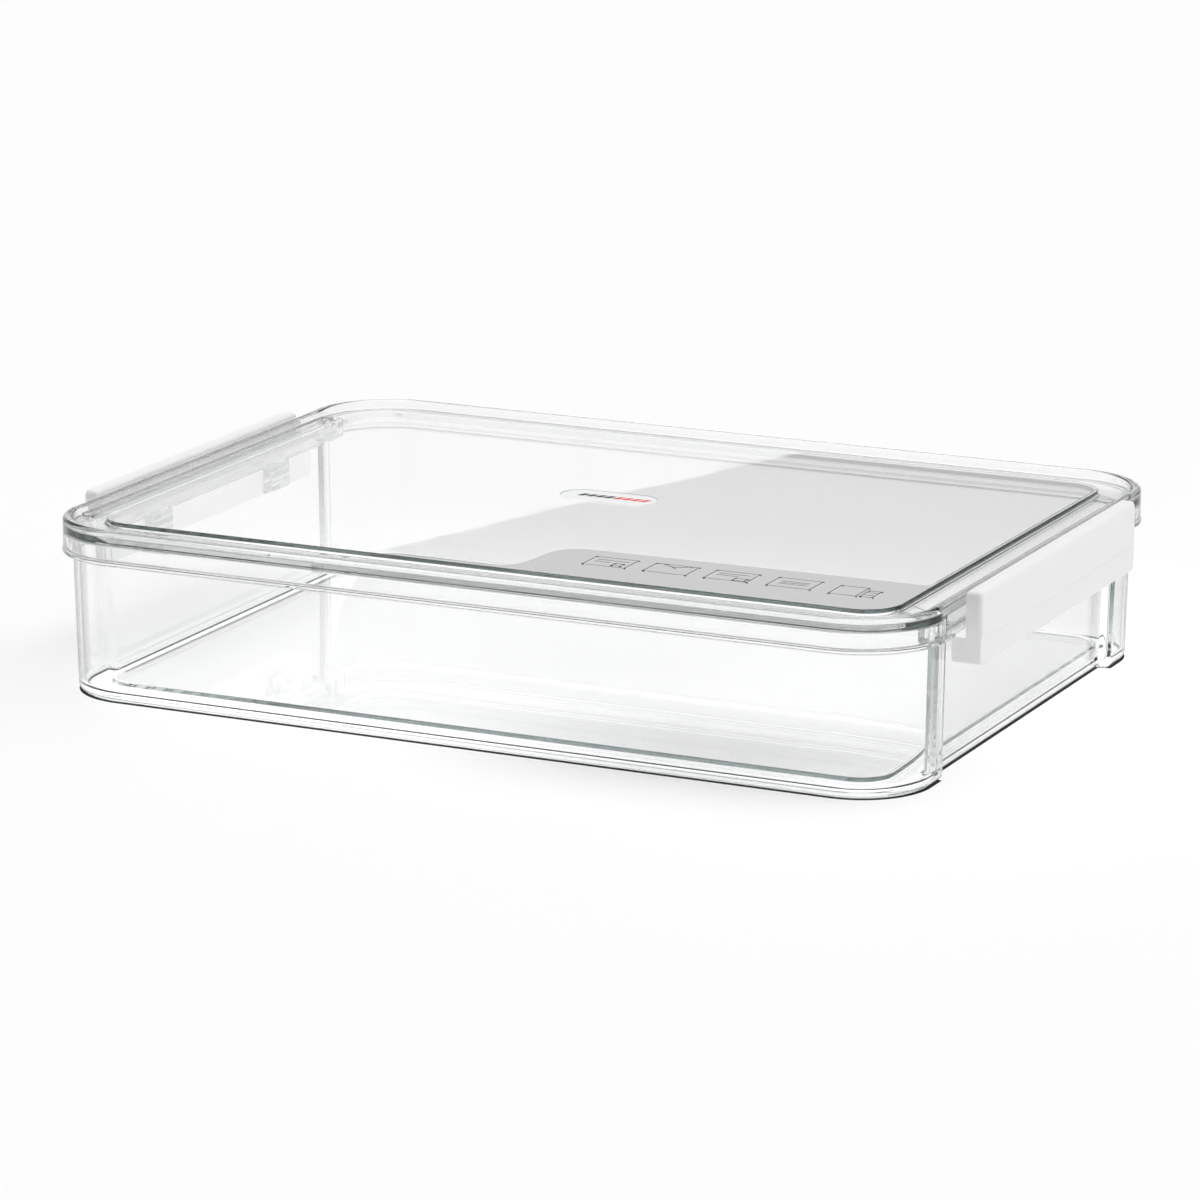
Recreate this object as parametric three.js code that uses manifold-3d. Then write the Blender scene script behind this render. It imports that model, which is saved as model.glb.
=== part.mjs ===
// Clear rectangular storage bin with a lift-off lid and a hinged snap latch on each short side.
// Millimetres. +Z is up and z = 0 is the surface that the bin stands on, X runs along its length,
// and the origin is at the centre of its footprint.

import * as THREE from 'three';
import { mergeVertices } from 'three/addons/utils/BufferGeometryUtils.js';
import Module from 'manifold-3d';

// Driving dimensions of the closed bin.
const lidLength = 330;
const lidWidth = 238;
const lidCornerRadius = 30;
const wall = 2;
const clearance = 0.3;

// Heights, from the ground up.
const footRecessHeight = 2.6;
const flangeTop = 51.4;
const flangeThickness = 1.4;
const skirtBottom = flangeTop + clearance;
const borderTop = 59.3;
const panelTop = 61.3;
const beadTop = 62.5;
const rimTop = borderTop - wall - clearance;

// Tub, as insets from the edge of the lid.
const tubFootInset = 4.4;
const tubRimInset = 3.4;
const flangeReach = 0.3;
const flangeBayReach = 4.4;
const floorInsetX = 17;
const floorInsetY = 16;
const floorCornerRadius = 12;
const footRound = 2.4;
const footChamfer = 1.7;
const rimWall = 1.8;
const hairline = 0.2;

// Bays, the recesses in the two short sides that take the latches.
const bayHalf = 79;
const bayDepth = 4.3;
const bayFillet = 2;
const lidBayHalf = 88;
const lidBayDepth = 3.7;

// Lid.
const panelInsetX = 15.3;
const panelInsetY = 16.6;
const panelCornerRadius = 13;
const beadWidth = 3.5;
const beadUnderside = 59;
const railBottom = 53.8;
const railTop = 58.5;
const railReach = 2;
const railHalf = 84;

// Latches.
const latchLength = 146;
const latchBottom = 38.4;
const latchTop = 64;
const latchShoulder = 47.8;
const latchCrease = 48.2;
const latchDepth = 10.4;
const latchTopDepth = 5.5;
const latchGap = 0.5;
const latchTaper = 0.6;
const latchRound = 2.2;
const latchEndRound = 3;
const snapHalf = 60;
const snapHeight = 52.8;
const snapRootHalf = 1.4;
const snapTipHalf = 0.45;

// Hinges. Each latch turns about a line along Y in the hooks of two lugs.
const hingeX = 163.5;
const hingeZ = 42.8;
const lugCentreY = 43.3;
const lugWidth = 13.7;
const lugRadius = 5;
const lugNeckDepth = 5;
const lugArmDrop = 3;
const lugCornerRadius = 4;
const barRadius = 1.9;
const hookRadius = 2.05;
const hookMouthHalf = 1.7;
const notchRadius = 5.5;

// Oval sticker in a shallow pocket of the lid's panel.
const labelLength = 36;
const labelWidth = 15;
const labelThickness = 0.2;
const labelX = -3;
const labelY = 7;
const pocketDepth = 0.3;

const wasm = await Module();
wasm.setup();

// Solid from a closed three.js geometry.
function solid(geometry) {
  geometry.deleteAttribute('normal');
  geometry.deleteAttribute('uv');
  const merged = mergeVertices(geometry.index ? geometry.toNonIndexed() : geometry, 1e-4);
  const vertProperties = new Float32Array(merged.attributes.position.array);
  const triVerts = new Uint32Array(merged.index.array);
  return new wasm.Manifold(new wasm.Mesh({ numProp: 3, vertProperties, triVerts }));
}

function union(solids) {
  return solids.reduce((sum, next) => sum.add(next));
}

// Shape through the corners [x, y, radius], each one rounded by an arc, or left sharp at radius 0.
// The first corner is a round one.
function roundedShape(corners) {
  const shape = new THREE.Shape();
  corners.forEach(([x, y, radius], i) => {
    if (radius === 0) {
      shape.lineTo(x, y);
      return;
    }
    const corner = new THREE.Vector2(x, y);
    const before = new THREE.Vector2(...corners.at(i - 1)).sub(corner).normalize();
    const after = new THREE.Vector2(...corners[(i + 1) % corners.length]).sub(corner).normalize();
    const half = Math.acos(before.dot(after)) / 2;
    const start = corner.clone().addScaledVector(before, radius / Math.tan(half));
    const end = corner.clone().addScaledVector(after, radius / Math.tan(half));
    const middle = before.clone().add(after).normalize();
    const centre = corner.clone().addScaledVector(middle, radius / Math.sin(half));
    const clockwise = before.cross(after) > 0;
    const from = start.sub(centre).angle();
    const to = end.sub(centre).angle();
    shape.absarc(centre.x, centre.y, radius, from, to, clockwise);
  });
  return shape;
}

function roundedRectangle(halfX, halfY, radius) {
  return roundedShape([[halfX, -halfY, radius], [halfX, halfY, radius],
    [-halfX, halfY, radius], [-halfX, -halfY, radius]]);
}

// Outline of the tub, inset from the edge of the lid, with a bay in each short side.
function tubOutline(inset, half) {
  const x = lidLength / 2 - inset;
  const y = lidWidth / 2 - inset;
  const radius = lidCornerRadius - inset;
  const back = x - bayDepth;
  const bay = (side) => [[x, -half], [back, -half], [back, half], [x, half]]
    .map(([px, py]) => [side * px, side * py, bayFillet]);
  return roundedShape([[x, -y, radius], ...bay(1), [x, y, radius],
    [-x, y, radius], ...bay(-1), [-x, -y, radius]]);
}

// Outline of the closed bin without its bays, inset from the edge of the lid.
function plainOutline(inset) {
  return roundedRectangle(lidLength / 2 - inset, lidWidth / 2 - inset, lidCornerRadius - inset);
}

// Prism between two heights. Its top end is wider than its bottom end by spread on every side.
function prism(shape, bottom, top, spread = 0) {
  const geometry = new THREE.ExtrudeGeometry(shape,
    { depth: top - bottom, bevelEnabled: false, curveSegments: 4 });
  geometry.computeBoundingBox();
  const { max } = geometry.boundingBox;
  const place = geometry.attributes.position;
  for (let i = 0; i < place.count; i += 1) {
    if (place.getZ(i) > 0) {
      place.setX(i, place.getX(i) * (1 + spread / max.x));
      place.setY(i, place.getY(i) * (1 + spread / max.y));
    }
  }
  return solid(geometry.translate(0, 0, bottom));
}

// Prism along Y, centred on y = 0, of a shape drawn in X and Z.
function prismAlongY(shape, length) {
  const geometry = new THREE.ExtrudeGeometry(shape,
    { depth: length, bevelEnabled: false, curveSegments: 3 });
  return solid(geometry.translate(0, 0, -length / 2).rotateX(Math.PI / 2));
}

// Prism along X between two values of x, of a shape drawn in Y and Z.
function prismAlongX(shape, low, high) {
  const geometry = new THREE.ExtrudeGeometry(shape,
    { depth: high - low, bevelEnabled: false, curveSegments: 3 });
  return solid(geometry.rotateX(Math.PI / 2).rotateZ(Math.PI / 2).translate(low, 0, 0));
}

function box(low, high) {
  const size = high.map((value, axis) => value - low[axis]);
  const centre = high.map((value, axis) => (value + low[axis]) / 2);
  return solid(new THREE.BoxGeometry(...size).translate(...centre));
}

// Upright slab of the plain outline, set back to x = face over the middle of each short side.
function setBackSlab(inset, face, half, bottom, top) {
  const reach = lidLength / 2 + 1 - face;
  const cutter = prism(roundedRectangle(reach, half, bayFillet), bottom - 1, top + 1);
  const cutters = [1, -1].map((side) => cutter.translate([side * (face + reach), 0, 0]));
  return prism(plainOutline(inset), bottom, top).subtract(union(cutters));
}

function cylinderAlongY(radius, x, y, z, length) {
  return solid(new THREE.CylinderGeometry(radius, radius, length, 24).translate(x, y, z));
}

// The same solid on the other short side of the bin.
function otherSide(piece) {
  return piece.rotate([0, 0, 180]);
}

// Hooked lug that holds one hinge bar. Its mouth faces away from the bin.
function hingeLug(y) {
  const half = lugWidth / 2;
  const wallFace = lidLength / 2 - tubFootInset - bayDepth;
  const underFlange = flangeTop - flangeThickness;
  const neck = box([wallFace, y - half, hingeZ], [wallFace + lugNeckDepth, y + half, underFlange + 0.5]);
  const arm = box([wallFace, y - half, hingeZ - lugArmDrop], [hingeX, y + half, hingeZ + lugRadius]);
  const knuckle = cylinderAlongY(lugRadius, hingeX, y, hingeZ, lugWidth);
  const seat = cylinderAlongY(hookRadius, hingeX, y, hingeZ, lugWidth + 1);
  const mouth = box([hingeX, y - half - 1, hingeZ - hookMouthHalf],
    [hingeX + lugRadius + 1, y + half + 1, hingeZ + hookMouthHalf]);
  const front = prismAlongX(roundedShape([
    [y - half, hingeZ - lugRadius, lugCornerRadius], [y + half, hingeZ - lugRadius, lugCornerRadius],
    [y + half, flangeTop, 0.8], [y - half, flangeTop, 0.8]]), wallFace - 1, hingeX + lugRadius + 1);
  return union([neck, arm, knuckle]).subtract(seat).subtract(mouth).intersect(front);
}

function tub() {
  const spread = tubFootInset - tubRimInset;
  const outline = (inset) => tubOutline(inset, bayHalf + Math.max(0, inset - tubFootInset));
  const underFlange = flangeTop - flangeThickness;
  const flangeMiddle = flangeTop - flangeThickness / 2;
  const rimFace = lidLength / 2 - tubRimInset - bayDepth;
  const foot = prism(outline(tubFootInset + footChamfer + hairline), 0, footRound, footChamfer);
  const walls = prism(outline(tubFootInset), footRound, flangeMiddle, spread);
  const flange = setBackSlab(-flangeReach, rimFace + flangeBayReach, bayHalf + 1.5, underFlange, flangeTop);
  const rimHalf = lidBayHalf + wall + 1.5;
  const rim = setBackSlab(tubRimInset, rimFace, rimHalf, flangeMiddle - hairline, rimTop);
  const inside = prism(outline(tubFootInset + wall), wall, underFlange + hairline, spread);
  const rimInside = setBackSlab(tubRimInset + rimWall, rimFace - rimWall, rimHalf + rimWall,
    underFlange + hairline, rimTop + 1);
  const halfX = lidLength / 2 - floorInsetX;
  const halfY = lidWidth / 2 - floorInsetY;
  const raisedFloor = prism(roundedRectangle(halfX, halfY, floorCornerRadius),
    wall / 2, wall + footRecessHeight);
  const footRecess = prism(roundedRectangle(halfX - wall, halfY - wall, floorCornerRadius - wall),
    -1, footRecessHeight);
  const shell = union([foot, walls, flange, rim]).subtract(inside).subtract(rimInside);
  const lugs = union([-lugCentreY, lugCentreY].map(hingeLug));
  return union([shell, raisedFloor, lugs, otherSide(lugs)]).subtract(footRecess);
}

// Rail along the set-back skirt in one bay, with round ends.
function catchRail() {
  const face = lidLength / 2 - lidBayDepth;
  const round = (railTop - railBottom) / 2 - 0.05;
  const rail = prismAlongX(roundedShape([[-railHalf, railBottom, round], [railHalf, railBottom, round],
    [railHalf, railTop, round], [-railHalf, railTop, round]]), face - 0.5, face + railReach);
  const lip = box([face - 0.5, -railHalf, skirtBottom], [face + railReach / 2, railHalf, skirtBottom + 0.7]);
  return rail.add(lip);
}

function labelOutline(margin) {
  const round = labelWidth / 2 + margin;
  return roundedRectangle(labelLength / 2 + margin, round, round - 0.1);
}

function lid() {
  const bayFace = lidLength / 2 - lidBayDepth;
  const halfX = lidLength / 2 - panelInsetX;
  const halfY = lidWidth / 2 - panelInsetY;
  const skirt = setBackSlab(0, bayFace, lidBayHalf, skirtBottom, borderTop);
  const bead = prism(plainOutline(0), beadUnderside, beadTop)
    .subtract(prism(plainOutline(beadWidth), borderTop, beadTop + 1, 0.4));
  const panel = prism(roundedRectangle(halfX, halfY, panelCornerRadius), borderTop - 1, panelTop);
  const inside = setBackSlab(wall, bayFace - wall, lidBayHalf + wall, skirtBottom - 1, borderTop - wall);
  const panelInside = prism(roundedRectangle(halfX - wall, halfY - wall, panelCornerRadius - wall),
    borderTop - wall - 1, panelTop - wall);
  const pocket = prism(labelOutline(clearance), panelTop - pocketDepth, panelTop + 1)
    .translate([labelX, labelY, 0]);
  const rails = catchRail().add(otherSide(catchRail()));
  return union([skirt, bead, panel]).subtract(inside).subtract(panelInside).subtract(pocket).add(rails);
}

// Latch on the +X side, shut against the lid.
function latch() {
  const inner = lidLength / 2 + latchGap;
  const outer = inner + latchTopDepth;
  const small = 0.5;
  const profile = roundedShape([
    [outer - latchDepth, latchBottom, small], [outer - latchTaper, latchBottom, small],
    [outer, latchCrease, 0], [outer, latchTop, latchRound], [inner, latchTop, latchRound],
    [inner, latchShoulder, small], [outer - latchDepth, latchShoulder, small]]);
  const snap = roundedShape([
    [inner + 1, snapHeight - snapRootHalf, 0.4], [inner + 1, snapHeight + snapRootHalf, 0.4],
    [inner - railReach + 0.1, snapHeight + snapTipHalf, 0.3],
    [inner - railReach + 0.1, snapHeight - snapTipHalf, 0.3]]);
  const half = latchLength / 2;
  const ends = prismAlongX(roundedShape([
    [-half, latchBottom - 1, 1], [half, latchBottom - 1, 1],
    [half, latchTop, latchEndRound], [-half, latchTop, latchEndRound]]), outer - latchDepth - 1, outer + 1);
  const bar = prismAlongY(profile, latchLength).intersect(ends);
  const notchHalf = lugWidth / 2 + clearance;
  const notch = (y) => box([outer - latchDepth - 1, y - notchHalf, latchBottom - 1],
    [hingeX + notchRadius, y + notchHalf, hingeZ + notchRadius]);
  const pin = (y) => cylinderAlongY(barRadius, hingeX, y, hingeZ, 2 * notchHalf + 1);
  const lugs = [-lugCentreY, lugCentreY];
  return union([bar.subtract(union(lugs.map(notch))), ...lugs.map(pin), prismAlongY(snap, 2 * snapHalf)]);
}

function label() {
  const bottom = panelTop - pocketDepth + 0.02;
  return prism(labelOutline(0), bottom, bottom + labelThickness).translate([labelX, labelY, 0]);
}

const clearPlastic = { color: 0xe6eded, roughness: 0.05, metalness: 0, transparent: true, opacity: 0.3 };
const whitePlastic = { color: 0xebebe9, roughness: 0.4, metalness: 0 };
const labelFilm = { color: 0xf4f5f4, roughness: 0.5, metalness: 0 };

function addPiece(group, name, piece, look) {
  const { vertProperties, triVerts } = piece.getMesh();
  const geometry = new THREE.BufferGeometry();
  geometry.setAttribute('position', new THREE.BufferAttribute(vertProperties, 3));
  geometry.setIndex(new THREE.BufferAttribute(triVerts, 1));
  geometry.computeVertexNormals();
  const mesh = new THREE.Mesh(geometry, new THREE.MeshStandardMaterial(look));
  mesh.name = name;
  group.add(mesh);
}

const bin = new THREE.Group();
addPiece(bin, 'tub', tub(), clearPlastic);
addPiece(bin, 'lid', lid(), clearPlastic);
addPiece(bin, 'latch_right', latch(), whitePlastic);
addPiece(bin, 'latch_left', otherSide(latch()), whitePlastic);
addPiece(bin, 'label', label(), labelFilm);

export default bin;
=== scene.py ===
import math

import bmesh
import bpy
from mathutils import Matrix, Vector


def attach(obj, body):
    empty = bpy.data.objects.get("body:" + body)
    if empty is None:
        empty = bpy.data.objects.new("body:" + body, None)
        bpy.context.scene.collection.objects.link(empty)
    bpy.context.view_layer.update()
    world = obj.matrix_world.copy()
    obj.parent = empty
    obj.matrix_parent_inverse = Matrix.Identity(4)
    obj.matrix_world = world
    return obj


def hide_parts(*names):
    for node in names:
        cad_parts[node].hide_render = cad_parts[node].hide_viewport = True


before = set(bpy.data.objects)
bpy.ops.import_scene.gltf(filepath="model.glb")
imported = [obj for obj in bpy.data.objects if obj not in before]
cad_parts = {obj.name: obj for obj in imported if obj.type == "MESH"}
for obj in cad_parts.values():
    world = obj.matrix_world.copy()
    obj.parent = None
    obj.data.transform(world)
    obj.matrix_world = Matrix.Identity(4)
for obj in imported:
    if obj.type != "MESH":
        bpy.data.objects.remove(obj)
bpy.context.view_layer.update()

# Clear rectangular storage bin with a lift-off lid and a hinged latch on each short side. X runs along its
# length, +Z is up and z = 0 is the surface that it stands on. The bin's sizes are in millimetres until MM
# turns them into metres, and the sizes of the floor and the camera are in metres.
MM = 0.001

# ---------------------------------------------------------------- driving sizes of the closed bin
HALF_X = 165.0
HALF_Y = 119.0
CORNER = 30.0
WALL = 2.0
CLEARANCE = 0.3

# ---------------------------------------------------------------- heights
RECESS_HEIGHT = 2.6
FLOOR_TOP = WALL + RECESS_HEIGHT
FLANGE_BOTTOM = 50.0
FLANGE_TOP = 51.4
SKIRT_BOTTOM = 51.7
RIM_TOP = 57.0
BEAD_BOTTOM = 59.0
BORDER_TOP = 59.3
PANEL_TOP = 61.3
BEAD_TOP = 62.5

# ---------------------------------------------------------------- tub: insets from the lid's edge, and bays
FOOT_INSET = 4.4
RIM_INSET = 3.4
RIM_WALL = 1.8
FLANGE_REACH = 0.3
FLANGE_BAY_REACH = 4.4
BAY_DEPTH = 4.3
BAY_HALF = 79.0
BAY_FILLET = 2.0
RIM_BAY_HALF = 91.5
FLOOR_X = 148.0
FLOOR_Y = 103.0
FLOOR_CORNER = 12.0

# ---------------------------------------------------------------- lid
LID_BAY_DEPTH = 3.7
LID_BAY_HALF = 88.0
PANEL_X = 149.7
PANEL_Y = 102.4
PANEL_CORNER = 13.0
RAIL_HALF = 84.0
LABEL_X = -3.0
LABEL_Y = 7.0
LABEL_HALF_LENGTH = 18.0
LABEL_HALF_WIDTH = 7.5
POCKET_DEPTH = 0.3

# ---------------------------------------------------------------- latches and their hinges
LATCH_HALF = 73.0
LATCH_BOTTOM = 38.4
LATCH_TOP = 64.0
LATCH_SHOULDER = 47.8
LATCH_CREASE = 48.3
LATCH_CORNER = 2.6
LATCH_EDGE_ROUND = 1.7
LATCH_BACK = 160.6
LATCH_INNER = 165.5
LATCH_OUTER = 171.0
NOTCH_RADIUS = 5.5
SNAP_HALF = 60.0
SNAP_Z = 52.8
HINGE_X = 163.5
HINGE_Z = 42.8
HINGE_BAR_RADIUS = 1.9
HOOK_RADIUS = 2.05
HOOK_MOUTH_HALF = 1.7
LUG_Y = 43.3
LUG_HALF = 13.7 / 2
LUG_RADIUS = 5.0

# ---------------------------------------------------------------- angles over which an edge stays sharp
CLEAR_SHARP_ANGLE = 28
LATCH_SHARP_ANGLE = 35


# ---------------------------------------------------------------- curves
def arc(cx, cy, rx, ry, start, end, steps):
    """Points along an arc of an ellipse, between two angles in degrees."""
    points = []
    for i in range(steps + 1):
        angle = math.radians(start + (end - start) * i / steps)
        points.append((cx + rx * math.cos(angle), cy + ry * math.sin(angle)))
    return points


def circle(cx, cy, radius, sides):
    points = []
    for k in range(sides):
        angle = 2 * math.pi * k / sides
        points.append((cx + radius * math.cos(angle), cy + radius * math.sin(angle)))
    return points


def corner_shares(turn, steps):
    """Shares of an arc's start, its corner and its end that give each point on the arc."""
    weight = math.cos(turn / 2)
    rows = []
    for k in range(steps + 1):
        t = k / steps
        shares = ((1 - t) ** 2, 2 * weight * t * (1 - t), t ** 2)
        rows.append([share / sum(shares) for share in shares])
    return rows


def rounded_polygon(corners, steps=6):
    """Polygon through corners (a, b, radius), with an arc at each corner that has a radius."""
    points = []
    for i, (px, py, radius) in enumerate(corners):
        corner = Vector((px, py))
        if radius == 0:
            points.append((px, py))
            continue
        before = (Vector(corners[i - 1][:2]) - corner).normalized()
        after = (Vector(corners[(i + 1) % len(corners)][:2]) - corner).normalized()
        turn = math.pi - before.angle(after)
        reach = radius * math.tan(turn / 2)
        start = corner + before * reach
        end = corner + after * reach
        for from_start, from_corner, from_end in corner_shares(turn, steps):
            point = start * from_start + corner * from_corner + end * from_end
            points.append((point.x, point.y))
    return points


# ---------------------------------------------------------------- lofted shells
def outline(x, y, radius, face, half, fillet):
    """Closed outline with a bay in each short side. Two outlines always match point for point.

    The bay's back is at x = face. Its outer corners are crisper than its inner ones. Where the face lies
    at x itself there is no bay, and the same points are spread along the straight side. A bay that is
    longer than the straight part of its side leaves a thin fold at each of its ends.
    """
    corner_steps = 22
    fillet_steps = 6
    depth = x - face
    fillet = min(fillet, (y - radius) / 4)
    half = min(half, (y - radius) / 2) if depth == 0 else half
    soft = min(fillet, depth / 2)
    rise = 0.4 * fillet
    crisp = min(rise, depth / 2)
    right = arc(x - radius, -y + radius, radius, radius, -90, 0, corner_steps)
    right += arc(x - crisp, -half - rise, crisp, rise, 0, 90, fillet_steps)
    right += arc(face + soft, -half + fillet, soft, fillet, -90, -180, fillet_steps)
    right += arc(face + soft, half - fillet, soft, fillet, 180, 90, fillet_steps)
    right += arc(x - crisp, half + rise, crisp, rise, -90, 0, fillet_steps)
    right += arc(x - radius, y - radius, radius, radius, 0, 90, corner_steps)
    return right + [(-px, -py) for px, py in right]


class Ring:
    """One level of a lofted shell: an outline, its height, and how far the shell rounds off there."""

    def __init__(self, x, y, radius, z, face=None, half=BAY_HALF, round_off=0.0, centre=(0.0, 0.0)):
        face = x if face is None else face
        self.values = (x, y, radius, z, face, half, centre[0], centre[1])
        self.round_off = round_off


def inset_ring(inset, z, half, bay_depth=0.0, round_off=0.0):
    """Ring that is inset from the lid's edge, with bays of the given half length and depth."""
    x = HALF_X - inset
    return Ring(x, HALF_Y - inset, CORNER - inset, z, x - bay_depth, half, round_off)


def ring_points(values, fillet):
    x, y, radius, z, face, half, cx, cy = values
    flat = outline(x, y, radius, face, half, fillet)
    return [Vector(((px + cx) * MM, (py + cy) * MM, z * MM)) for px, py in flat]


def mix(a, b, share):
    return tuple(p + (q - p) * share for p, q in zip(a, b))


def rounded_levels(rings):
    """Levels through the given rings, with an arc at each ring that asks for one."""
    longest_share = 0.49
    levels = []
    for i, ring in enumerate(rings):
        here = ring.values
        if ring.round_off == 0 or i in (0, len(rings) - 1):
            levels.append(here)
            continue
        before = rings[i - 1].values
        after = rings[i + 1].values
        back = Vector((before[0] - here[0], before[3] - here[3]))
        ahead = Vector((after[0] - here[0], after[3] - here[3]))
        turn = math.pi - back.angle(ahead)
        reach = ring.round_off * math.tan(turn / 2)
        start = mix(here, before, min(longest_share, reach / back.length))
        end = mix(here, after, min(longest_share, reach / ahead.length))
        steps = 4 if ring.round_off < 1 else 8
        for shares in corner_shares(turn, steps):
            levels.append(tuple(shares[0] * p + shares[1] * q + shares[2] * r
                                for p, q, r in zip(start, here, end)))
    return levels


def new_object(name, bm):
    mesh = bpy.data.meshes.new(name)
    bm.to_mesh(mesh)
    bm.free()
    made = bpy.data.objects.new(name, mesh)
    bpy.context.scene.collection.objects.link(made)
    return made


def bridge(bm, low, high):
    """Band of faces between two closed rows of the same number of points."""
    for i in range(len(low)):
        j = (i + 1) % len(low)
        bm.faces.new((low[i], low[j], high[j], high[i]))


def close_ends(bm, rows):
    """Flat faces across the first and the last row."""
    bm.faces.new(list(reversed(rows[0])))
    bm.faces.new(rows[-1])


def loft(name, rings, fillet):
    """Closed shell through all the rings, flat across its first and last one."""
    bm = bmesh.new()
    rows = []
    for level in rounded_levels(rings):
        rows.append([bm.verts.new(point) for point in ring_points(level, fillet)])
    for low, high in zip(rows, rows[1:]):
        bridge(bm, low, high)
    close_ends(bm, rows)
    bmesh.ops.remove_doubles(bm, verts=bm.verts, dist=2e-6)
    bmesh.ops.dissolve_degenerate(bm, dist=1e-6, edges=bm.edges)
    bmesh.ops.recalc_face_normals(bm, faces=bm.faces)
    if bm.calc_volume(signed=True) < 0:
        bmesh.ops.reverse_faces(bm, faces=bm.faces)
    return new_object(name, bm)


# ---------------------------------------------------------------- prisms, joins and cuts
def extrude(name, polygon, place, low, high):
    """Closed prism. place(a, b, c) gives the point in millimetres, c runs from low to high."""
    bm = bmesh.new()
    rows = [[bm.verts.new(Vector(place(a, b, c)) * MM) for a, b in polygon] for c in (low, high)]
    bridge(bm, rows[0], rows[1])
    close_ends(bm, rows)
    bmesh.ops.recalc_face_normals(bm, faces=bm.faces)
    return new_object(name, bm)


def along_x(a, b, c):
    return (c, a, b)


def along_y(a, b, c):
    return (a, c, b)


def along_z(a, b, c):
    return (a, b, c)


def cushion(name, low, high, half, radius, back, face, rounding):
    """Block along x with rounded corners, whose outer face has a rounded edge all the way round."""
    edge_steps = 8
    slices = [(back, 0.0)]
    for k in range(edge_steps + 1):
        angle = math.radians(90 * k / edge_steps)
        slices.append((face - rounding + rounding * math.sin(angle), rounding * (1 - math.cos(angle))))
    bm = bmesh.new()
    rows = []
    for x, inset in slices:
        r = radius - inset
        ring = rounded_polygon([
            (-half + inset, low + inset, r), (half - inset, low + inset, r),
            (half - inset, high - inset, r), (-half + inset, high - inset, r)], 8)
        rows.append([bm.verts.new(Vector((x, y, z)) * MM) for y, z in ring])
    for near, far in zip(rows, rows[1:]):
        bridge(bm, near, far)
    close_ends(bm, rows)
    bmesh.ops.recalc_face_normals(bm, faces=bm.faces)
    return new_object(name, bm)


def combine(base, tool, operation):
    """Boolean of two closed meshes, applied to base. The tool is removed."""
    modifier = base.modifiers.new(operation.title(), "BOOLEAN")
    modifier.operation = operation
    modifier.solver = "MANIFOLD"
    modifier.object = tool
    bpy.context.view_layer.update()
    graph = bpy.context.evaluated_depsgraph_get()
    result = bpy.data.meshes.new_from_object(base.evaluated_get(graph))
    base.modifiers.remove(modifier)
    old = base.data
    base.data = result
    bpy.data.meshes.remove(old)
    bpy.data.objects.remove(tool)


def join(name, objects):
    """One mesh object made of copies of several that don't touch. They are removed."""
    bm = bmesh.new()
    for obj in objects:
        bm.from_mesh(obj.data)
        bpy.data.objects.remove(obj)
    return new_object(name, bm)


def half_turn(obj, name):
    """Copy of an object on the other short side of the bin."""
    copy = bpy.data.objects.new(name, obj.data.copy())
    copy.data.transform(Matrix.Rotation(math.pi, 4, "Z"))
    bpy.context.scene.collection.objects.link(copy)
    return copy


def unite_on_both_sides(shell, piece):
    """Joins a piece to the shell, and its copy on the other short side."""
    other = half_turn(piece, "other_side")
    combine(shell, piece, "UNION")
    combine(shell, other, "UNION")


def smooth(obj, angle):
    """Smooth shading that keeps flat faces flat and edges over the angle sharp."""
    for polygon in obj.data.polygons:
        polygon.use_smooth = True
    obj.data.set_sharp_from_angle(angle=math.radians(angle))
    flats = obj.modifiers.new("Flat faces stay flat", "WEIGHTED_NORMAL")
    flats.keep_sharp = True
    flats.weight = 100
    flats.thresh = 0.00001


# ---------------------------------------------------------------- tub
def hinge_lug(y):
    """Hooked lug that holds one hinge bar. Its mouth faces away from the bin."""
    wall_face = HALF_X - FOOT_INSET - BAY_DEPTH
    neck_face = wall_face + 5.0
    hook_face = 162.0
    outer_face = HINGE_X + LUG_RADIUS
    hook_bottom = HINGE_Z - LUG_RADIUS
    arm_bottom = HINGE_Z - 3.0
    hook_top = HINGE_Z + LUG_RADIUS
    neck_top = 50.7
    side = rounded_polygon([
        (wall_face, arm_bottom, 0), (hook_face, arm_bottom, 0), (hook_face, hook_bottom, 0),
        (outer_face, hook_bottom, 4.9), (outer_face, hook_top, 4.9),
        (neck_face, hook_top, 1.2), (neck_face, neck_top, 0), (wall_face, neck_top, 0)])
    lug = extrude("lug", side, along_y, y - LUG_HALF, y + LUG_HALF)
    # The cutters reach past the lug wherever they don't shape it.
    past_top = neck_top + 0.05
    front = rounded_polygon([
        (y - LUG_HALF, hook_bottom, 4), (y + LUG_HALF, hook_bottom, 4),
        (y + LUG_HALF, past_top, 0.1), (y - LUG_HALF, past_top, 0.1)])
    combine(lug, extrude("front", front, along_x, 150, 172), "INTERSECT")
    past_side = LUG_HALF + 1
    seat = circle(HINGE_X, HINGE_Z, HOOK_RADIUS, 32)
    combine(lug, extrude("seat", seat, along_y, y - past_side, y + past_side), "DIFFERENCE")
    low = HINGE_Z - HOOK_MOUTH_HALF
    high = HINGE_Z + HOOK_MOUTH_HALF
    past_face = outer_face + 1.5
    mouth = [(HINGE_X, low), (past_face, low), (past_face, high), (HINGE_X, high)]
    combine(lug, extrude("mouth", mouth, along_y, y - past_side, y + past_side), "DIFFERENCE")
    return lug


def tub_ring(inset, z, half, round_off=0.0, bay_reach=0.0):
    """Ring that follows the tub. Its bays are as deep as the tub's, less the bay reach."""
    return inset_ring(inset, z, half, BAY_DEPTH - bay_reach, round_off)


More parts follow.
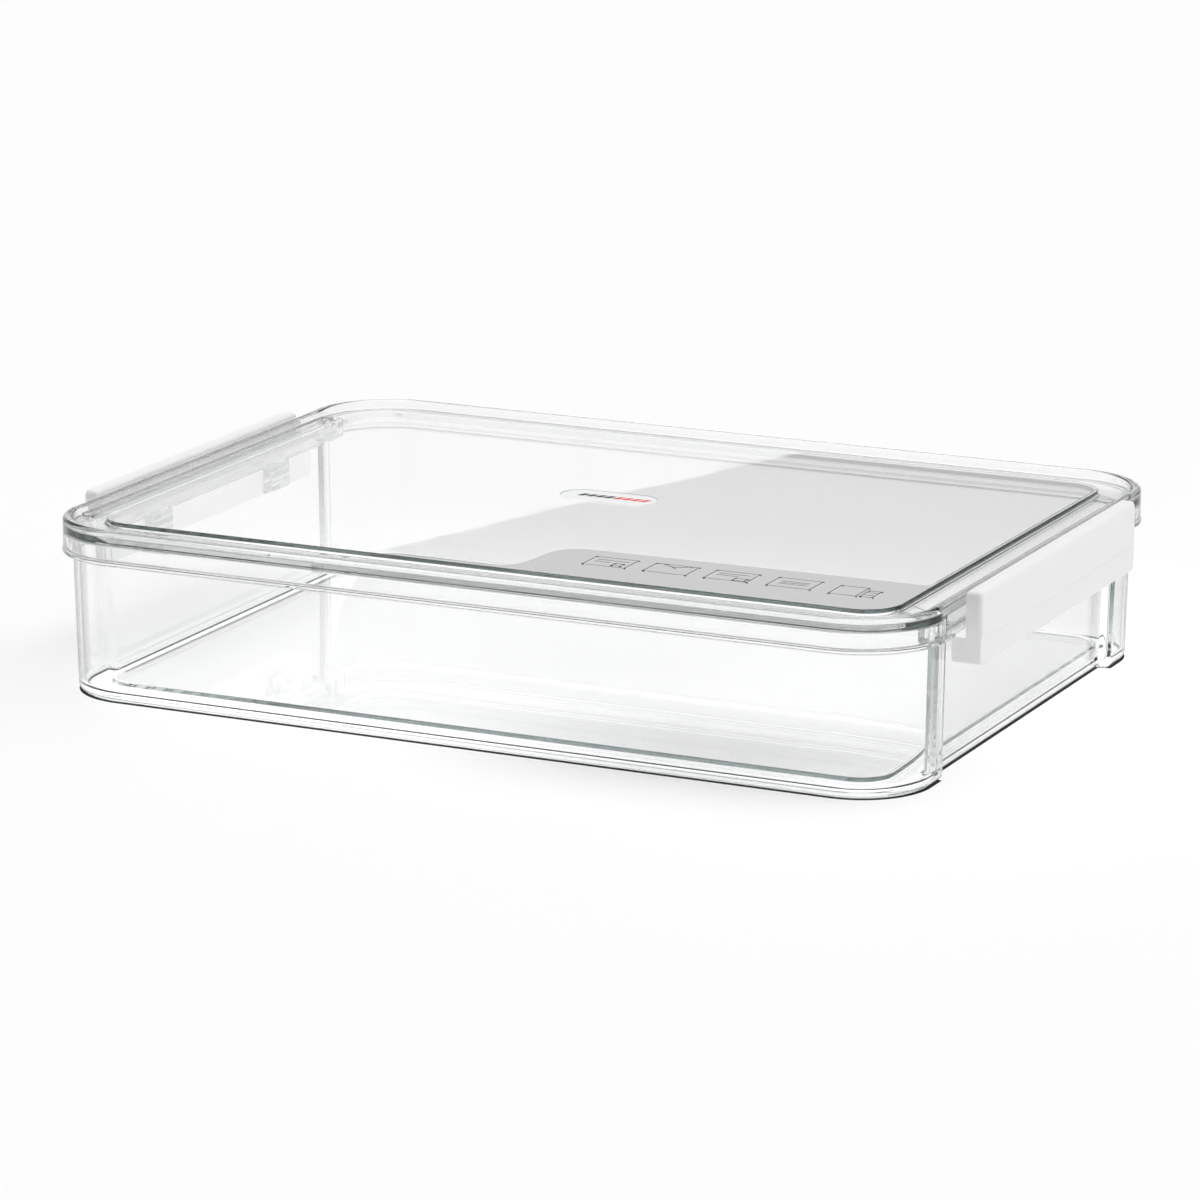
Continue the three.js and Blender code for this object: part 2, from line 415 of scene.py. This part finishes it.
def make_tub():
    rim_inner = RIM_INSET + RIM_WALL
    rim_inner_half = RIM_BAY_HALF + RIM_WALL
    wall_top_half = 79.7
    flange_half = 80.5
    step_half = 81.7
    step_height = 50.2
    reach = FLANGE_BAY_REACH - FLANGE_REACH - RIM_INSET
    shell = loft("clear_tub", [
        # The recess under the raised floor, inside the foot ring.
        Ring(FLOOR_X - WALL, FLOOR_Y - WALL, FLOOR_CORNER - WALL, RECESS_HEIGHT),
        Ring(FLOOR_X - 2.1, FLOOR_Y - 2.1, FLOOR_CORNER - WALL, 0.0, round_off=0.3),
        # The outer wall, which leans out a little towards the top.
        tub_ring(FOOT_INSET, 0.0, BAY_HALF, round_off=2.6),
        tub_ring(RIM_INSET, FLANGE_BOTTOM, wall_top_half, round_off=0.4),
        # The flange that the lid's skirt comes down to.
        tub_ring(-FLANGE_REACH, FLANGE_BOTTOM, flange_half, round_off=0.4, bay_reach=reach),
        tub_ring(-FLANGE_REACH, FLANGE_TOP, flange_half, round_off=0.4, bay_reach=reach),
        # The rim that the lid goes over.
        tub_ring(RIM_INSET, FLANGE_TOP, RIM_BAY_HALF, round_off=0.3),
        tub_ring(RIM_INSET, RIM_TOP, RIM_BAY_HALF, round_off=0.6),
        tub_ring(rim_inner, RIM_TOP, rim_inner_half, round_off=0.6),
        tub_ring(rim_inner, step_height, rim_inner_half),
        # The inside of the walls, the floor and the raised floor.
        tub_ring(RIM_INSET + WALL, step_height, step_half),
        tub_ring(FOOT_INSET + WALL, WALL, BAY_HALF + WALL, round_off=3.2),
        Ring(FLOOR_X, FLOOR_Y, FLOOR_CORNER, WALL, round_off=2.0),
        Ring(FLOOR_X, FLOOR_Y, FLOOR_CORNER, FLOOR_TOP, round_off=0.3),
        Ring(FLOOR_X - 8, FLOOR_Y - 8, FLOOR_CORNER - 6, FLOOR_TOP),
    ], BAY_FILLET)
    lugs = join("lugs", [hinge_lug(-LUG_Y), hinge_lug(LUG_Y)])
    unite_on_both_sides(shell, lugs)
    smooth(shell, CLEAR_SHARP_ANGLE)
    return shell


# ---------------------------------------------------------------- lid
def catch_rail():
    """Rail along the set-back skirt, which the latch's snap ridge goes under, and the lip below it."""
    back = HALF_X - LID_BAY_DEPTH - 0.5
    bottom = 53.8
    top = 58.5
    end = 2.3
    rail = rounded_polygon([
        (-RAIL_HALF, bottom, end), (RAIL_HALF, bottom, end), (RAIL_HALF, top, end), (-RAIL_HALF, top, end)])
    lip_face = back + 1.5
    lip_bottom = SKIRT_BOTTOM + 0.02
    lip_top = SKIRT_BOTTOM + 0.7
    lip = [(back, lip_bottom), (lip_face, lip_bottom), (lip_face, lip_top), (back, lip_top)]
    return join("rails", [
        extrude("rail", rail, along_x, back, back + 2.5),
        extrude("lip", lip, along_y, -RAIL_HALF, RAIL_HALF)])


def pocket_ring(z):
    """Edge of the shallow pocket that the sticker lies in."""
    half_width = LABEL_HALF_WIDTH + CLEARANCE
    return Ring(LABEL_HALF_LENGTH + CLEARANCE, half_width, half_width - 0.1, z, half=3.0,
                centre=(LABEL_X, LABEL_Y))


def make_lid():
    inside_x = PANEL_X - WALL
    inside_y = PANEL_Y - WALL
    inside_corner = PANEL_CORNER - WALL
    inside_half = LID_BAY_HALF + WALL
    shell = loft("clear_lid", [
        # The inside of the raised panel and of the border.
        Ring(inside_x, inside_y, inside_corner, PANEL_TOP - WALL),
        Ring(inside_x, inside_y, inside_corner, BORDER_TOP - WALL, round_off=0.6),
        # The skirt, which is set back in the bays.
        inset_ring(WALL, BORDER_TOP - WALL, inside_half, LID_BAY_DEPTH, round_off=1.0),
        inset_ring(WALL, SKIRT_BOTTOM, inside_half, LID_BAY_DEPTH, round_off=0.5),
        inset_ring(0.0, SKIRT_BOTTOM, LID_BAY_HALF, LID_BAY_DEPTH, round_off=0.5),
        inset_ring(0.0, BEAD_BOTTOM, LID_BAY_HALF, LID_BAY_DEPTH),
        # The bead, which runs straight past the bays.
        inset_ring(0.0, BEAD_BOTTOM, LID_BAY_HALF),
        inset_ring(0.0, BEAD_TOP, LID_BAY_HALF, round_off=1.5),
        inset_ring(3.1, BEAD_TOP, LID_BAY_HALF, round_off=1.2),
        inset_ring(3.6, BORDER_TOP, LID_BAY_HALF, round_off=0.8),
        # The raised panel and the pocket for the sticker.
        Ring(PANEL_X, PANEL_Y, PANEL_CORNER, BORDER_TOP, round_off=1.0),
        Ring(PANEL_X, PANEL_Y, PANEL_CORNER, PANEL_TOP, round_off=0.3),
        pocket_ring(PANEL_TOP),
        pocket_ring(PANEL_TOP - POCKET_DEPTH),
    ], BAY_FILLET)
    unite_on_both_sides(shell, catch_rail())
    smooth(shell, CLEAR_SHARP_ANGLE)
    return shell


# ---------------------------------------------------------------- latches
def make_latch():
    """Latch on the +X side, shut: an L-shaped bar with two notches, their hinge bars, and a snap ridge."""
    profile = rounded_polygon([
        (LATCH_BACK, LATCH_BOTTOM, 0.5), (LATCH_OUTER - 0.45, LATCH_BOTTOM, 0),
        (LATCH_OUTER - 0.3, LATCH_CREASE - 0.4, 0), (LATCH_OUTER, LATCH_CREASE, 0),
        (LATCH_OUTER, LATCH_TOP, 2.2), (LATCH_INNER, LATCH_TOP, 1.6),
        (LATCH_INNER, LATCH_SHOULDER, 0.5), (LATCH_BACK, LATCH_SHOULDER, 0.5)], 8)
    latch = extrude("latch_right_shell", profile, along_y, -LATCH_HALF, LATCH_HALF)
    past_back = LATCH_BACK - 2
    past_bottom = LATCH_BOTTOM - 1
    ends = cushion("ends", LATCH_BOTTOM, LATCH_TOP, LATCH_HALF, LATCH_CORNER, past_back, LATCH_OUTER,
                   LATCH_EDGE_ROUND)
    combine(latch, ends, "INTERSECT")
    notch_face = HINGE_X + NOTCH_RADIUS
    notch_top = HINGE_Z + NOTCH_RADIUS
    notch = [(past_back, past_bottom), (notch_face, past_bottom),
             (notch_face, notch_top), (past_back, notch_top)]
    pin = circle(HINGE_X, HINGE_Z, HINGE_BAR_RADIUS, 24)
    half = LUG_HALF + CLEARANCE
    for y in (-LUG_Y, LUG_Y):
        combine(latch, extrude("notch", notch, along_y, y - half, y + half), "DIFFERENCE")
        combine(latch, extrude("pin", pin, along_y, y - half - 0.5, y + half + 0.5), "UNION")
    snap_root = LATCH_INNER + 1
    snap_tip = LATCH_INNER - 1.9
    snap = [(snap_root, SNAP_Z - 1.4), (snap_tip, SNAP_Z - 0.45),
            (snap_tip, SNAP_Z + 0.45), (snap_root, SNAP_Z + 1.4)]
    combine(latch, extrude("snap", snap, along_y, -SNAP_HALF, SNAP_HALF), "UNION")
    return latch


# ---------------------------------------------------------------- printed details on the lid
LABEL_BOTTOM = PANEL_TOP - POCKET_DEPTH + 0.02
LABEL_TOP = LABEL_BOTTOM + 0.2
MARK_Y = 7.2
MARK_HEIGHT = 3.4
MARK_LENGTH = 2.4
MARK_PITCH = 3.4
PICTOGRAM_Y = -79.8
CARD_WIDTH = 15.6
CARD_HEIGHT = 11.4


def sheet_piece(name, polygons, low, high):
    """Thin closed plates in one mesh, lying flat between two heights."""
    plates = [extrude(name, polygon, along_z, low, high) for polygon in polygons]
    return join(name, plates)


def bar(x0, y0, x1, y1, width):
    """Straight stroke with square ends."""
    along = Vector((x1 - x0, y1 - y0)).normalized() * width / 2
    across = Vector((-along.y, along.x))
    start = Vector((x0, y0)) - along
    end = Vector((x1, y1)) + along
    corners = (start - across, end - across, end + across, start + across)
    return [(corner.x, corner.y) for corner in corners]


def box_strokes(cx, cy, width, height, stroke):
    x0 = cx - width / 2
    x1 = cx + width / 2
    y0 = cy - height / 2
    y1 = cy + height / 2
    return [bar(x0, y0, x1, y0, stroke), bar(x0, y1, x1, y1, stroke),
            bar(x0, y0, x0, y1, stroke), bar(x1, y0, x1, y1, stroke)]


def card(x, y, stroke):
    return box_strokes(x, y, CARD_WIDTH, CARD_HEIGHT, stroke)


def ruled_card(x, y, stroke):
    lines = [bar(x - 5.3, y + 2.2, x + 5.3, y + 2.2, stroke)]
    lines += [bar(x - 5.3, y - 0.4, x - 0.3, y - 0.4, stroke)]
    return card(x, y, stroke) + lines + box_strokes(x + 3.7, y - 2.4, 3.2, 3.0, stroke)


def folder(x, y, stroke):
    flap = [bar(x - 4.8, y + 5.6, x, y + 2.4, stroke), bar(x, y + 2.4, x + 4.8, y + 5.6, stroke)]
    return card(x, y, stroke) + flap


def tabbed_card(x, y, stroke):
    lines = [bar(x - 5.2, y + 2.6, x + 5.2, y + 2.6, stroke)]
    lines += [bar(x - 5.2, y + 0.2, x + 2.2, y + 0.2, stroke)]
    return card(x, y, stroke) + lines + box_strokes(x + 4.4, y - 3.2, 4.4, 2.8, stroke)


def filled_card(x, y, stroke):
    return card(x, y, stroke) + [bar(x - 4.6, y + k, x + 4.6, y + k, stroke) for k in (1.6, 0.0, -1.6)]


def stack(x, y, stroke):
    sheets = box_strokes(x - 3.0, y - 1.2, 9.8, CARD_HEIGHT, stroke)
    sheets += box_strokes(x + 5.4, y - 2.4, 4.4, 8.0, stroke)
    return sheets + [bar(x + 4.0, y - 2.4 + k, x + 6.8, y - 2.4 + k, stroke) for k in (1.6, -1.6)]


def pictogram_strokes(dx, dy, stroke):
    """Five plain line symbols in a row, shifted by dx and dy."""
    y = PICTOGRAM_Y + dy
    symbols = ((ruled_card, 39.3), (folder, 61.8), (tabbed_card, 84.2), (filled_card, 107.0), (stack, 130.0))
    strokes = []
    for symbol, x in symbols:
        strokes += symbol(x + dx, y, stroke)
    return strokes


def make_frost():
    """Frosted strip along the panel's front edge, with one end that sweeps down to the edge."""
    edge = rounded_polygon([
        (2.0, -101.7, 0), (149.0, -101.7, 12.3), (149.0, -58.0, 0), (148.2, -63.0, 3.0),
        (15.6, -66.6, 11.0), (12.4, -96.0, 9.0)], 10)
    return sheet_piece("frosted_strip", [edge], PANEL_TOP + 0.01, PANEL_TOP + 0.05)


def make_label():
    left = LABEL_X - LABEL_HALF_LENGTH
    right = LABEL_X + LABEL_HALF_LENGTH
    near = LABEL_Y - LABEL_HALF_WIDTH
    far = LABEL_Y + LABEL_HALF_WIDTH
    end = LABEL_HALF_WIDTH - 0.02
    pill = rounded_polygon([(right, near, end), (right, far, end), (left, far, end), (left, near, end)], 16)
    return sheet_piece("label_pill", [pill], LABEL_BOTTOM, LABEL_TOP)


def make_marks(name, first_x):
    """Four slanted bars on the sticker, side by side from first_x."""
    lean = MARK_HEIGHT * 0.25
    low = MARK_Y - MARK_HEIGHT / 2
    high = MARK_Y + MARK_HEIGHT / 2
    bars = []
    for k in range(4):
        left = first_x + MARK_PITCH * k
        right = left + MARK_LENGTH
        bars.append([(left - lean, low), (right - lean, low), (right + lean, high), (left + lean, high)])
    return sheet_piece(name, bars, LABEL_TOP + 0.01, LABEL_TOP + 0.04)


# ---------------------------------------------------------------- materials
def node_material(name):
    material = bpy.data.materials.new(name)
    material.use_nodes = True
    tree = material.node_tree
    tree.nodes.clear()
    output = tree.nodes.new("ShaderNodeOutputMaterial")
    return material, tree, output


def map_range(tree, source, low, high, to_low, to_high):
    node = tree.nodes.new("ShaderNodeMapRange")
    node.inputs["From Min"].default_value = low
    node.inputs["From Max"].default_value = high
    node.inputs["To Min"].default_value = to_low
    node.inputs["To Max"].default_value = to_high
    tree.links.new(source, node.inputs["Value"])
    return node.outputs["Result"]


def noise(tree, scale, detail):
    """Soft noise from 0 to 1 that is fixed to the piece."""
    place = tree.nodes.new("ShaderNodeTexCoord")
    node = tree.nodes.new("ShaderNodeTexNoise")
    node.inputs["Scale"].default_value = scale
    node.inputs["Detail"].default_value = detail
    tree.links.new(place.outputs["Object"], node.inputs["Vector"])
    return node.outputs["Fac"]


def bumps(tree, height, strength):
    """Normal for bumps up to a tenth of a millimetre high."""
    node = tree.nodes.new("ShaderNodeBump")
    node.inputs["Strength"].default_value = strength
    node.inputs["Distance"].default_value = 0.0001
    tree.links.new(height, node.inputs["Height"])
    return node.outputs["Normal"]


def painted_edge_shade(tree):
    """Painted shade: a grey level that falls to nearly black on surfaces seen edge-on, and stays 1 where
    they face up.
    """
    grazing = tree.nodes.new("ShaderNodeLayerWeight")
    clear = map_range(tree, grazing.outputs["Facing"], 0.56, 0.88, 1.0, 0.01)
    surface = tree.nodes.new("ShaderNodeNewGeometry")
    parts = tree.nodes.new("ShaderNodeSeparateXYZ")
    tree.links.new(surface.outputs["Normal"], parts.inputs["Vector"])
    upward = map_range(tree, parts.outputs["Z"], 0.3, 0.7, 0.0, 1.0)
    tone = tree.nodes.new("ShaderNodeMix")
    tone.inputs["B"].default_value = 1.0
    tree.links.new(upward, tone.inputs["Factor"])
    tree.links.new(clear, tone.inputs["A"])
    return tone.outputs["Result"]


def clear_plastic(name):
    """Clear moulded plastic: glass that lets shadow rays through, absorbs light along its way, and has
    painted shade on surfaces seen edge-on.
    """
    material, tree, output = node_material(name)
    glass = tree.nodes.new("ShaderNodeBsdfPrincipled")
    glass.inputs["Transmission Weight"].default_value = 1.0
    glass.inputs["IOR"].default_value = 1.5
    flow = noise(tree, 14.0, 2.0)
    # The base colour carries painted shade that darkens surfaces seen edge-on.
    tree.links.new(painted_edge_shade(tree), glass.inputs["Base Color"])
    tree.links.new(bumps(tree, flow, 0.08), glass.inputs["Normal"])
    tree.links.new(map_range(tree, flow, 0.0, 1.0, 0.0, 0.006), glass.inputs["Roughness"])
    pane = tree.nodes.new("ShaderNodeBsdfTransparent")
    pane.inputs["Color"].default_value = (1.0, 1.0, 1.0, 1.0)
    path = tree.nodes.new("ShaderNodeLightPath")
    choose = tree.nodes.new("ShaderNodeMixShader")
    tree.links.new(path.outputs["Is Shadow Ray"], choose.inputs["Fac"])
    tree.links.new(glass.outputs["BSDF"], choose.inputs[1])
    tree.links.new(pane.outputs["BSDF"], choose.inputs[2])
    tree.links.new(choose.outputs["Shader"], output.inputs["Surface"])
    absorb = tree.nodes.new("ShaderNodeVolumeAbsorption")
    absorb.inputs["Color"].default_value = (0.55, 0.60, 0.60, 1.0)
    absorb.inputs["Density"].default_value = 17.0
    tree.links.new(absorb.outputs["Volume"], output.inputs["Volume"])
    return material


def moulded_plastic(name, colour, roughness):
    """Opaque plastic with the fine texture of a moulding tool."""
    material, tree, output = node_material(name)
    shader = tree.nodes.new("ShaderNodeBsdfPrincipled")
    cloud = noise(tree, 30.0, 4.0)
    grain = noise(tree, 2600.0, 3.0)
    shade = tree.nodes.new("ShaderNodeMix")
    shade.data_type = "RGBA"
    shade.inputs["A"].default_value = (*[part * 0.985 for part in colour], 1.0)
    shade.inputs["B"].default_value = (*colour, 1.0)
    tree.links.new(cloud, shade.inputs["Factor"])
    tree.links.new(shade.outputs["Result"], shader.inputs["Base Color"])
    tree.links.new(bumps(tree, grain, 0.15), shader.inputs["Normal"])
    spread = map_range(tree, cloud, 0.0, 1.0, roughness - 0.04, roughness + 0.04)
    tree.links.new(spread, shader.inputs["Roughness"])
    tree.links.new(shader.outputs["BSDF"], output.inputs["Surface"])
    return material


def matt_surface(name, grey):
    material, tree, output = node_material(name)
    shader = tree.nodes.new("ShaderNodeBsdfDiffuse")
    shader.inputs["Color"].default_value = (grey, grey, grey, 1.0)
    tree.links.new(shader.outputs["BSDF"], output.inputs["Surface"])
    return material


# ---------------------------------------------------------------- pieces on their bodies
def finish_piece(piece, material, body):
    piece.data.materials.clear()
    piece.data.materials.append(material)
    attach(piece, body)


def stand_for(node):
    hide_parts(node)


def add_clear_shells():
    for make, name in ((make_tub, "tub"), (make_lid, "lid")):
        shell = make()
        finish_piece(shell, clear_plastic(name + "_plastic"), name)
        stand_for(name)


def add_latches():
    plastic = moulded_plastic("latch_plastic", (0.87, 0.87, 0.865), 0.3)
    right = make_latch()
    left = half_turn(right, "latch_left_shell")
    for shell, name in ((right, "latch_right"), (left, "latch_left")):
        smooth(shell, LATCH_SHARP_ANGLE)
        finish_piece(shell, plastic, name)
        stand_for(name)


def add_label():
    pill = make_label()
    finish_piece(pill, moulded_plastic("label_film", (0.86, 0.87, 0.87), 0.45), "lid")
    stand_for("label")
    dark_ink = moulded_plastic("dark_ink", (0.02, 0.02, 0.02), 0.5)
    red_ink = moulded_plastic("red_ink", (0.75, 0.08, 0.08), 0.5)
    finish_piece(make_marks("label_marks_dark", -14.0), dark_ink, "lid")
    finish_piece(make_marks("label_marks_red", -0.2), red_ink, "lid")


def add_frosted_strip():
    """Frosted strip, and its symbols as grey lines, painted shade of their raised strokes, over a pale copy
    that is shifted towards the edge as a painted glint.
    """
    frost = moulded_plastic("frosted_film", (0.56, 0.565, 0.56), 0.5)
    symbol_shade_grey = moulded_plastic("symbol_shade_grey", (0.22, 0.23, 0.23), 0.5)
    painted_glint_grey = moulded_plastic("painted_glint_grey", (0.80, 0.80, 0.80), 0.5)
    finish_piece(make_frost(), frost, "lid")
    # Grey strokes: the real symbols, with their grey as painted shade of the raised strokes.
    strokes = pictogram_strokes(0, 0, 0.75)
    lines = sheet_piece("pictograms", strokes, PANEL_TOP + 0.09, PANEL_TOP + 0.12)
    finish_piece(lines, symbol_shade_grey, "lid")
    # Pale copy shifted towards the edge: a painted glint along each stroke.
    pale_strokes = pictogram_strokes(0.5, -0.7, 0.6)
    painted_glints = sheet_piece("pictogram_painted_glints", pale_strokes, PANEL_TOP + 0.06, PANEL_TOP + 0.08)
    finish_piece(painted_glints, painted_glint_grey, "lid")


# ---------------------------------------------------------------- floor, light and camera
def make_painted_contact_shadow():
    """Painted contact shadow: a narrow dark line on the floor where the rounded foot of the tub meets it."""
    strip = bmesh.new()
    rows = []
    for inset in (FOOT_INSET + 0.1, FOOT_INSET + 2.6):
        ring = tub_ring(inset, 0.01, BAY_HALF + inset - FOOT_INSET)
        rows.append([strip.verts.new(point) for point in ring_points(ring.values, BAY_FILLET)])
    bridge(strip, rows[0], rows[1])
    line = new_object("painted_contact_shadow", strip)
    # The strip's near-black colour is painted shadow.
    line.data.materials.append(matt_surface("painted_shadow_dark", 0.03))


def make_floor():
    bm = bmesh.new()
    bmesh.ops.create_grid(bm, x_segments=8, y_segments=8, size=9.0)
    floor = new_object("floor", bm)
    floor.data.materials.append(matt_surface("floor_white", 0.9))


def grey_ramp(tree, source, stops):
    ramp = tree.nodes.new("ShaderNodeValToRGB")
    elements = ramp.color_ramp.elements
    for k, (position, value) in enumerate(stops):
        element = elements[k] if k < 2 else elements.new(position)
        element.position = position
        element.color = (value, value, value, 1.0)
    tree.links.new(source, ramp.inputs["Fac"])
    return ramp.outputs["Color"]


def mix_shaders(tree, share, first, second):
    node = tree.nodes.new("ShaderNodeMixShader")
    tree.links.new(share, node.inputs["Fac"])
    tree.links.new(first, node.inputs[1])
    tree.links.new(second, node.inputs[2])
    return node.outputs["Shader"]


def mirrored_dome(tree, direction, height):
    """What is seen in mirror-like surfaces: white below a tilted plane, with greys by height above it.

    The plane's sharp edge is what draws the straight diagonal reflection on the lid's panel.
    """
    side = tree.nodes.new("ShaderNodeVectorMath")
    side.operation = "DOT_PRODUCT"
    side.inputs[1].default_value = (-0.3017, 0.1022, -0.9479)
    tree.links.new(direction, side.inputs[0])
    below = map_range(tree, side.outputs["Value"], -0.0002, 0.0002, 0.0, 1.0)
    greys = grey_ramp(tree, height,
                      [(0.0, 0.56), (1.0, 1.4), (0.3, 0.50), (0.55, 0.16), (0.85, 0.16), (0.93, 1.4)])
    tone = tree.nodes.new("ShaderNodeMix")
    tone.data_type = "RGBA"
    tone.inputs["B"].default_value = (0.97, 0.97, 0.97, 1.0)
    tree.links.new(below, tone.inputs["Factor"])
    tree.links.new(greys, tone.inputs["A"])
    dome = tree.nodes.new("ShaderNodeBackground")
    tree.links.new(tone.outputs["Result"], dome.inputs["Color"])
    return dome.outputs["Background"]


def soft_dome(tree, right, back):
    """Dome that lights matt surfaces. It is brighter towards +X and towards +Y."""
    dome = tree.nodes.new("ShaderNodeBackground")
    tree.links.new(map_range(tree, right, -0.6, 1.0, 0.03, 1.3), dome.inputs["Color"])
    tree.links.new(map_range(tree, back, -0.5, 0.4, 0.02, 1.0), dome.inputs["Strength"])
    return dome.outputs["Background"]


def make_world():
    """Studio dome with one look for mirror-like rays and one for the light on matt surfaces.

    Light that reaches a matt surface by way of clear plastic comes from a plain grey dome instead.
    """
    world = bpy.data.worlds.new("studio")
    bpy.context.scene.world = world
    world.use_nodes = True
    tree = world.node_tree
    tree.nodes.clear()
    output = tree.nodes.new("ShaderNodeOutputWorld")
    place = tree.nodes.new("ShaderNodeTexCoord")
    parts = tree.nodes.new("ShaderNodeSeparateXYZ")
    tree.links.new(place.outputs["Generated"], parts.inputs["Vector"])
    path = tree.nodes.new("ShaderNodeLightPath")
    mirrored = mirrored_dome(tree, place.outputs["Generated"], parts.outputs["Z"])
    soft = soft_dome(tree, parts.outputs["X"], parts.outputs["Y"])
    plain = tree.nodes.new("ShaderNodeBackground")
    plain.inputs["Color"].default_value = (0.64, 0.64, 0.64, 1.0)
    bounced = tree.nodes.new("ShaderNodeMath")
    bounced.operation = "GREATER_THAN"
    bounced.inputs[1].default_value = 0.5
    tree.links.new(path.outputs["Diffuse Depth"], bounced.inputs[0])
    through = mix_shaders(tree, bounced.outputs["Value"], mirrored, plain.outputs["Background"])
    dome = mix_shaders(tree, path.outputs["Is Diffuse Ray"], through, soft)
    tree.links.new(dome, output.inputs["Surface"])


def make_overhead_light():
    """Wide soft light from straight above."""
    data = bpy.data.lights.new("overhead", "SUN")
    data.energy = 2.48
    data.angle = math.radians(84)
    data.cycles.use_multiple_importance_sampling = False
    lamp = bpy.data.objects.new("overhead", data)
    bpy.context.scene.collection.objects.link(lamp)


def make_camera():
    data = bpy.data.cameras.new("camera")
    data.sensor_width = 36.0
    data.lens = 162.43
    data.clip_start = 0.05
    data.clip_end = 50.0
    camera = bpy.data.objects.new("camera", data)
    azimuth = math.radians(25.6787)
    elevation = math.radians(14.2981)
    distance = 1.8968
    aim = Vector((0.0071, -0.0211, 0.03125))
    back = Vector((math.sin(azimuth) * math.cos(elevation),
                   -math.cos(azimuth) * math.cos(elevation), math.sin(elevation)))
    camera.location = aim + back * distance
    camera.rotation_euler = (-back).to_track_quat("-Z", "Y").to_euler()
    bpy.context.scene.collection.objects.link(camera)
    bpy.context.scene.camera = camera


def set_light_paths(scene):
    """Enough bounces for light that runs inside the walls, with no blurring of glossy light."""
    scene.cycles.max_bounces = 64
    scene.cycles.transmission_bounces = 64
    scene.cycles.glossy_bounces = 64
    scene.cycles.transparent_max_bounces = 24
    scene.cycles.blur_glossy = 0.0


add_clear_shells()
add_latches()
add_label()
add_frosted_strip()
make_floor()
make_painted_contact_shadow()
make_world()
make_overhead_light()
make_camera()
bpy.context.scene.view_settings.view_transform = "Standard"
set_light_paths(bpy.context.scene)
